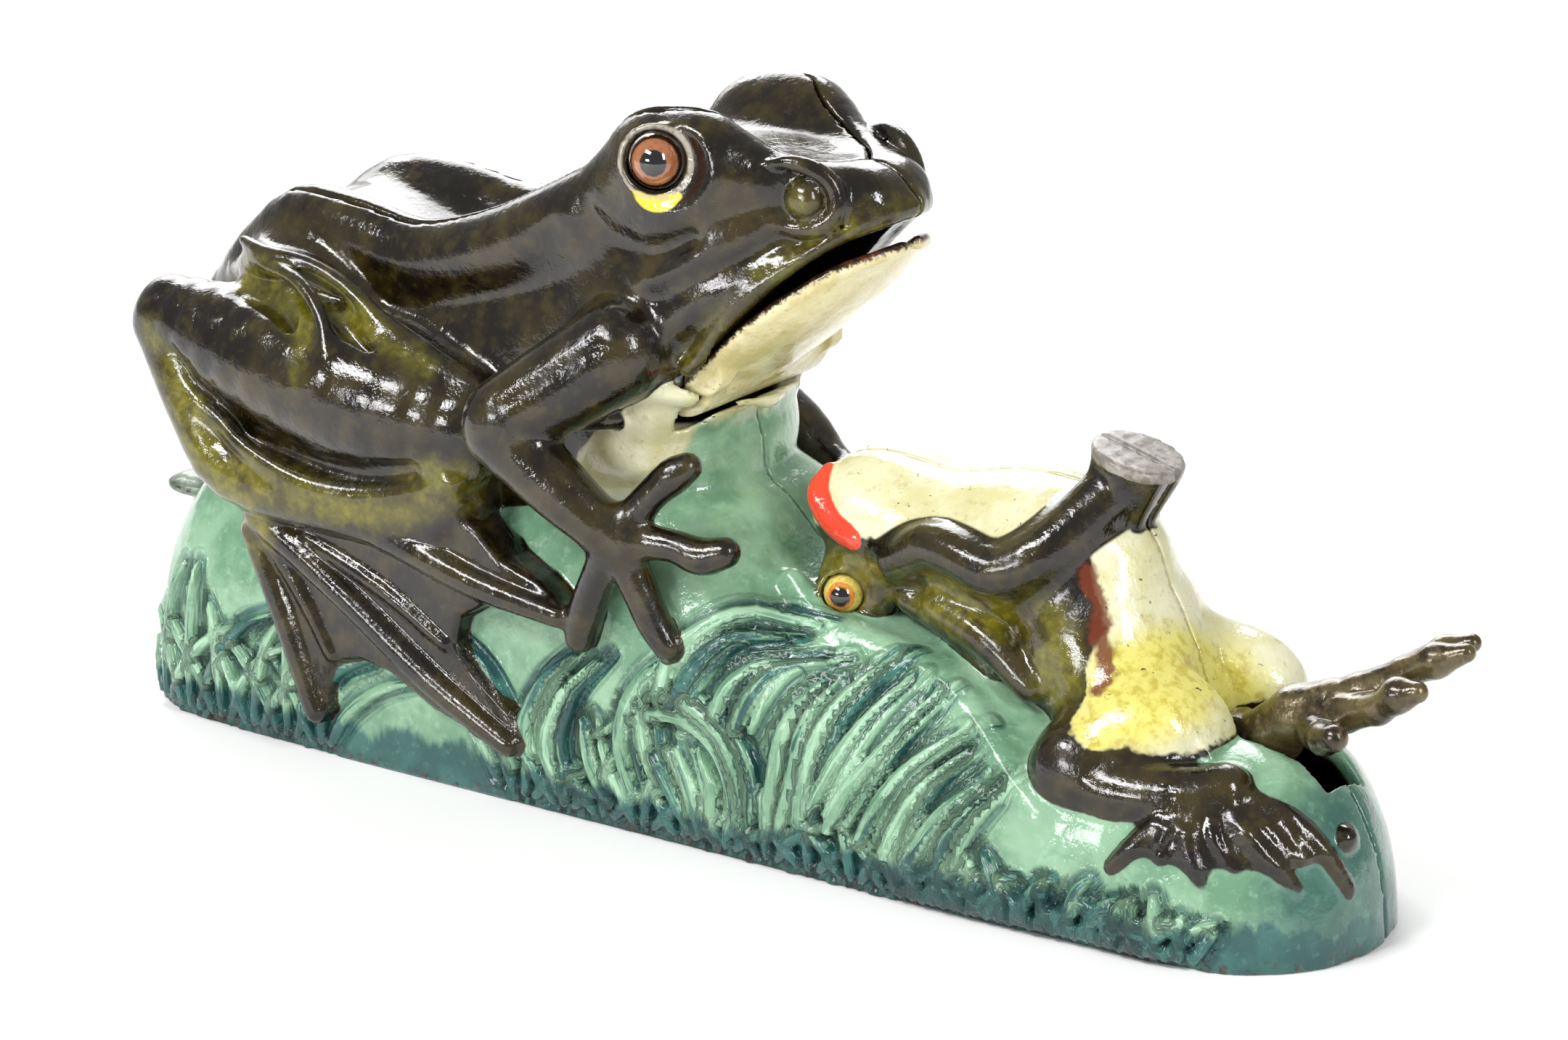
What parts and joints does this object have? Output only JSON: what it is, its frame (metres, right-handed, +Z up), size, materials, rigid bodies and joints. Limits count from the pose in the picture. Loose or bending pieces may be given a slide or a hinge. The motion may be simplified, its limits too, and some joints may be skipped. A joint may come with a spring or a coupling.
{
  "type": "mechanical coin bank",
  "caption": "Painted cast-iron mechanical bank: a large frog on a grassy mound drops its jaw while a small frog's leg kicks a coin in when the rear lever is pressed.",
  "frame": {"origin": "on the ground under the middle of the bank", "axes": "+X from the lever to the small frog's kicking foot, +Y to the large frog's left, +Z up"},
  "size_m": [0.2216, 0.069, 0.1023],
  "materials": {
    "right_shell_paint": "glossy oil paint over cast iron: green mound, dark olive frogs, cream bellies, worn at the edges",
    "left_shell_paint": "glossy oil paint over cast iron: green mound, dark olive frogs, cream bellies, worn at the edges",
    "back_paint": "glossy dark olive brown enamel",
    "bare_iron": "dark bare iron",
    "jaw_paint": "cream enamel, chipped dark along the rim",
    "leg_paint": "glossy dark brown enamel",
    "lever_paint": "worn grey green paint",
    "steel_wire": "dull steel",
    "amber_glass": "glossy amber glass with a black pupil",
    "yellow_glass": "glossy yellow glass with a black pupil",
    "screw_steel": "dark steel"
  },
  "bodies": {
    "bank": {"right_casting": "right_shell_paint", "left_casting": "left_shell_paint", "back_cover": "back_paint", "base_plate": "bare_iron", "lever_pivot_pin": "steel_wire", "jaw_pivot_pin": "steel_wire", "kicker_pivot_pin": "steel_wire", "lever_spring": "steel_wire", "push_rod_spring": "steel_wire", "large_frog_right_eye": "amber_glass", "large_frog_left_eye": "amber_glass", "small_frog_right_eye": "yellow_glass", "small_frog_left_eye": "yellow_glass", "front_screw": "screw_steel", "middle_screw": "screw_steel", "rear_screw": "screw_steel", "back_screw": "screw_steel", "plate_screw_front": "screw_steel", "plate_screw_rear": "screw_steel"},
    "lever_body": {"lever": "lever_paint", "lever_lift_pin": "steel_wire", "lever_push_pin": "steel_wire"},
    "jaw_body": {"lower_jaw": "jaw_paint", "jaw_tail_pin": "steel_wire"},
    "kicker_body": {"kicker_leg": "leg_paint", "kicker_tail_pin": "steel_wire"},
    "lift_rod_body": {"lift_rod": "bare_iron"},
    "push_rod_body": {"push_rod": "bare_iron"},
    "trap_body": {"trap_cover": "bare_iron"}
  },
  "joints": [
    {"name": "lever_press", "type": "hinge", "parent": "bank", "child": "lever_body", "pos_m": [-0.0752, 0, 0.028], "axis": [0, -1, 0], "range_deg": [0, 16], "stiffness_Nm_per_rad": 0.3, "springref_deg": -11.46, "deforming": ["lever_spring"]},
    {"name": "kicker_swing", "type": "hinge", "parent": "bank", "child": "kicker_body", "pos_m": [0.077, 0, 0.024], "axis": [0, -1, 0], "range_deg": [0, 70.1]},
    {"name": "jaw_open", "type": "hinge", "parent": "bank", "child": "jaw_body", "pos_m": [-0.005, 0, 0.064], "axis": [0, 1, 0], "range_deg": [0, 22.1]},
    {"name": "push_rod_slide", "type": "slide", "parent": "bank", "child": "push_rod_body", "axis": [1, 0, 0], "range_m": [0, 0.00592], "deforming": ["push_rod_spring"]},
    {"name": "lift_rod_slide", "type": "slide", "parent": "bank", "child": "lift_rod_body", "axis": [0, 0, 1], "range_m": [0, 0.01146]},
    {"name": "trap_turn", "type": "hinge", "parent": "bank", "child": "trap_body", "pos_m": [-0.018, 0, 0.0025], "axis": [0, 0, 1], "range_deg": [0, 90]}
  ],
  "couplings": [
    {"joint": "kicker_swing", "follows": "lever_press", "ratio": 4.375},
    {"joint": "jaw_open", "follows": "lever_press", "ratio": 1.375},
    {"joint": "push_rod_slide", "follows": "lever_press", "m_per_rad": 0.02113},
    {"joint": "lift_rod_slide", "follows": "lever_press", "m_per_rad": 0.04097}
  ]
}
